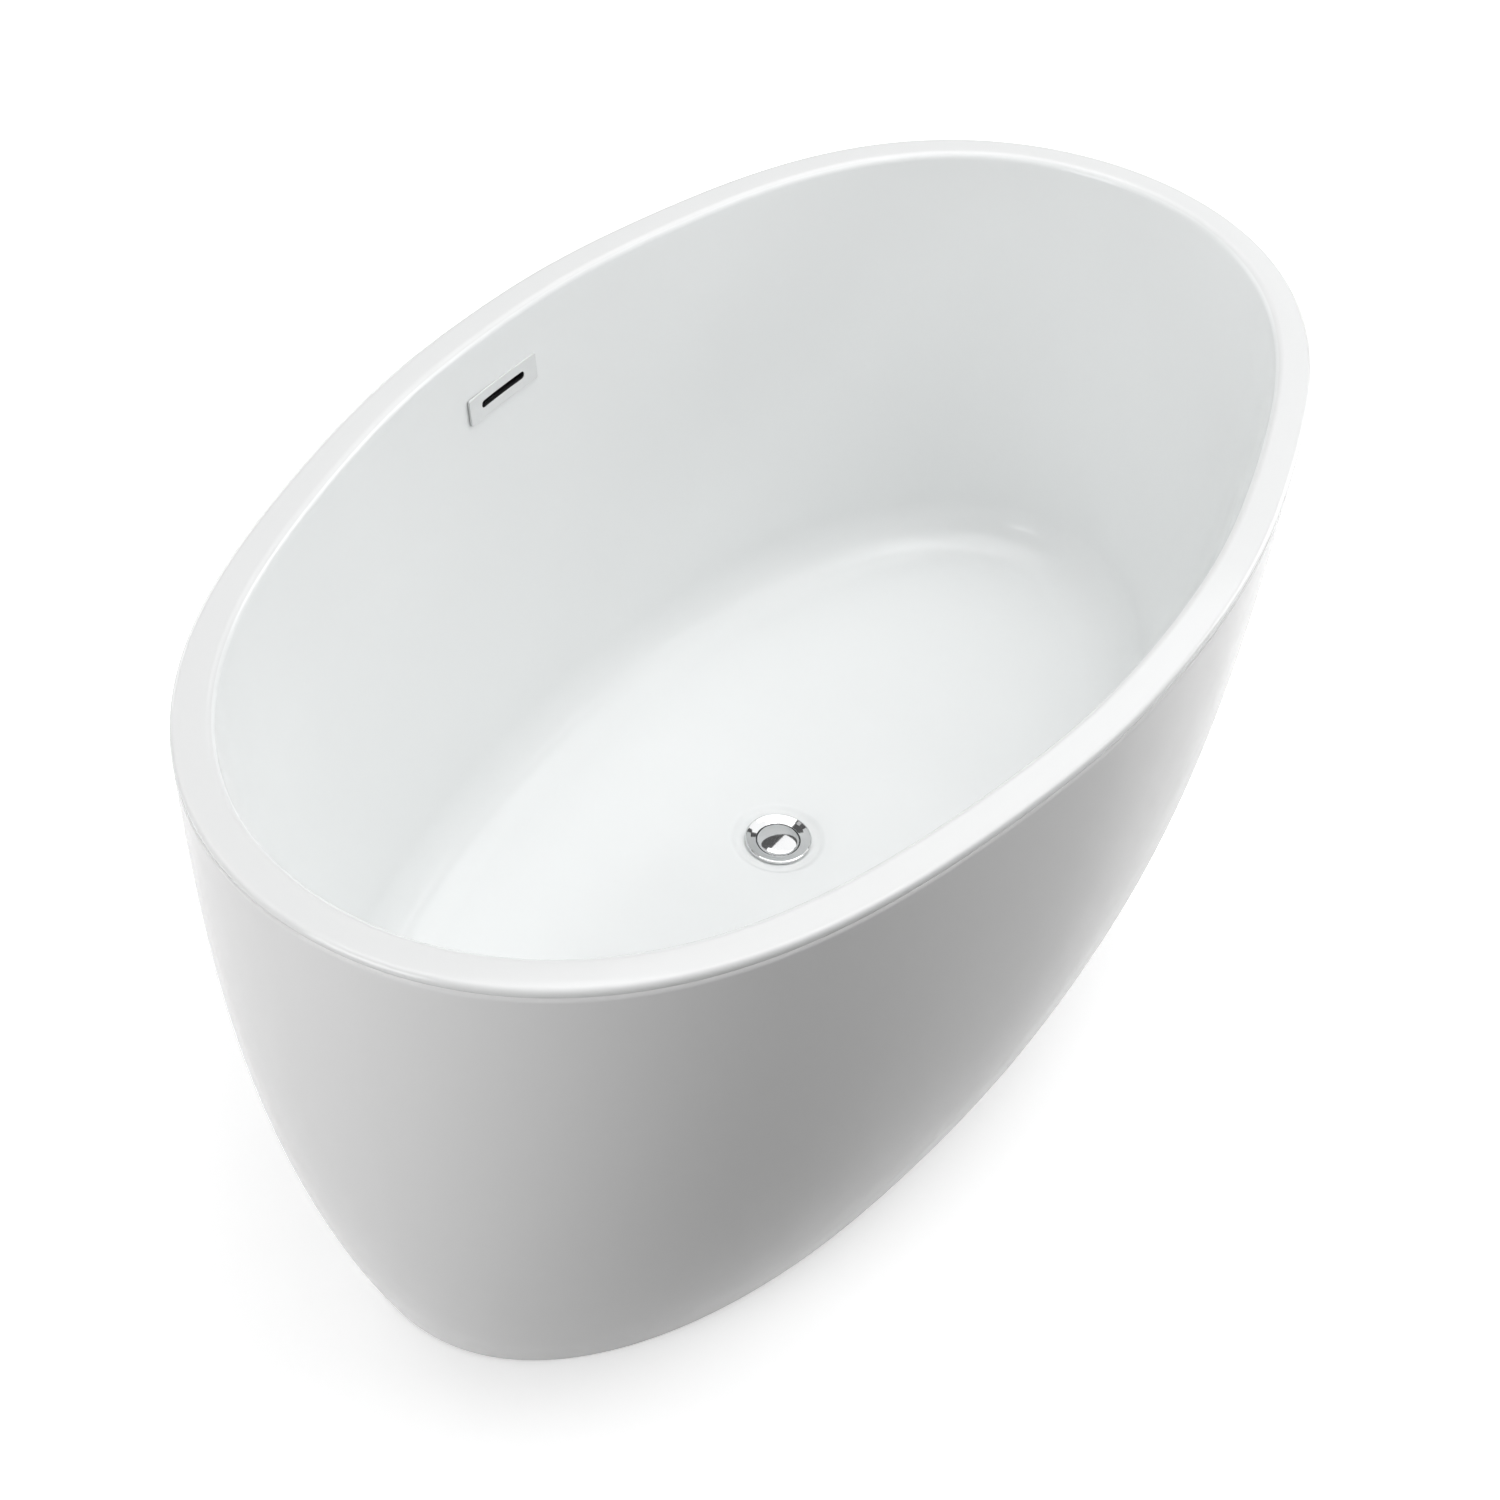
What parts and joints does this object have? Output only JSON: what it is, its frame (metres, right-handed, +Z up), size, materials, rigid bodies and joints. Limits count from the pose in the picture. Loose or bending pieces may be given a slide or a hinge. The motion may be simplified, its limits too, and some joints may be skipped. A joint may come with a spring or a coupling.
{
  "type": "freestanding bathtub",
  "caption": "Oval double-shell freestanding bathtub with flat rim, curved skirt, chrome lift stopper drain, slotted overflow and a steel frame on levelling feet.",
  "frame": {"origin": "centre of the footprint at ground level, under the soles of the feet", "axes": "+X along the tub's length, +Y towards the long wall that carries the overflow, +Z up"},
  "size_m": [1.2, 0.7, 0.58],
  "materials": {
    "acrylic": "gloss",
    "trim_white": "gloss",
    "bond": "matte",
    "plywood": "raw",
    "frame_steel": "satin powder coat",
    "zinc": "zinc plated",
    "rubber": "matte",
    "black_plastic": "matte",
    "grey_plastic": "matte",
    "pipe_plastic": "satin",
    "brass": "turned",
    "chrome": "polished",
    "chrome_tube": "polished"
  },
  "bodies": {
    "tub": {"basin_shell": "acrylic", "board_screws": "zinc", "branch_nut": "grey_plastic", "branch_washer": "grey_plastic", "cross_back": "frame_steel", "cross_front": "frame_steel", "drain_flange": "chrome", "drain_locknut": "brass", "drain_tee": "pipe_plastic", "flange_gasket": "rubber", "floor_board": "plywood", "friction_washer": "grey_plastic", "jam_nuts": "zinc", "overflow_box": "black_plastic", "overflow_gasket": "rubber", "overflow_nuts": "zinc", "overflow_pipe": "pipe_plastic", "overflow_plate": "trim_white", "rail_left": "frame_steel", "rail_right": "frame_steel", "rim_bond": "bond", "ring_screws": "zinc", "skirt_ring": "plywood", "skirt_shell": "acrylic", "slip_nut": "grey_plastic", "slip_washer": "grey_plastic", "stopper_post": "brass", "tailpiece": "chrome_tube", "tube_caps": "black_plastic", "waste_gasket": "rubber", "weld_nuts": "zinc"},
    "stopper": {"stopper_cap": "chrome", "stopper_seal": "rubber", "stopper_spring": "zinc"},
    "foot_1": {"foot_pad_1": "black_plastic", "foot_sole_1": "rubber", "foot_stud_1": "zinc"},
    "foot_2": {"foot_pad_2": "black_plastic", "foot_sole_2": "rubber", "foot_stud_2": "zinc"},
    "foot_3": {"foot_pad_3": "black_plastic", "foot_sole_3": "rubber", "foot_stud_3": "zinc"},
    "foot_4": {"foot_pad_4": "black_plastic", "foot_sole_4": "rubber", "foot_stud_4": "zinc"}
  },
  "joints": [
    {"name": "stopper_lift", "type": "slide", "parent": "tub", "child": "stopper", "axis": [0, 0, 1], "range_m": [0, 0.009], "deforming": ["stopper_spring"]},
    {"name": "foot_1_level", "type": "slide", "parent": "tub", "child": "foot_1", "axis": [0, 0, -1], "range_m": [0, 0.015]},
    {"name": "foot_2_level", "type": "slide", "parent": "tub", "child": "foot_2", "axis": [0, 0, -1], "range_m": [0, 0.015]},
    {"name": "foot_3_level", "type": "slide", "parent": "tub", "child": "foot_3", "axis": [0, 0, -1], "range_m": [0, 0.015]},
    {"name": "foot_4_level", "type": "slide", "parent": "tub", "child": "foot_4", "axis": [0, 0, -1], "range_m": [0, 0.015]}
  ]
}
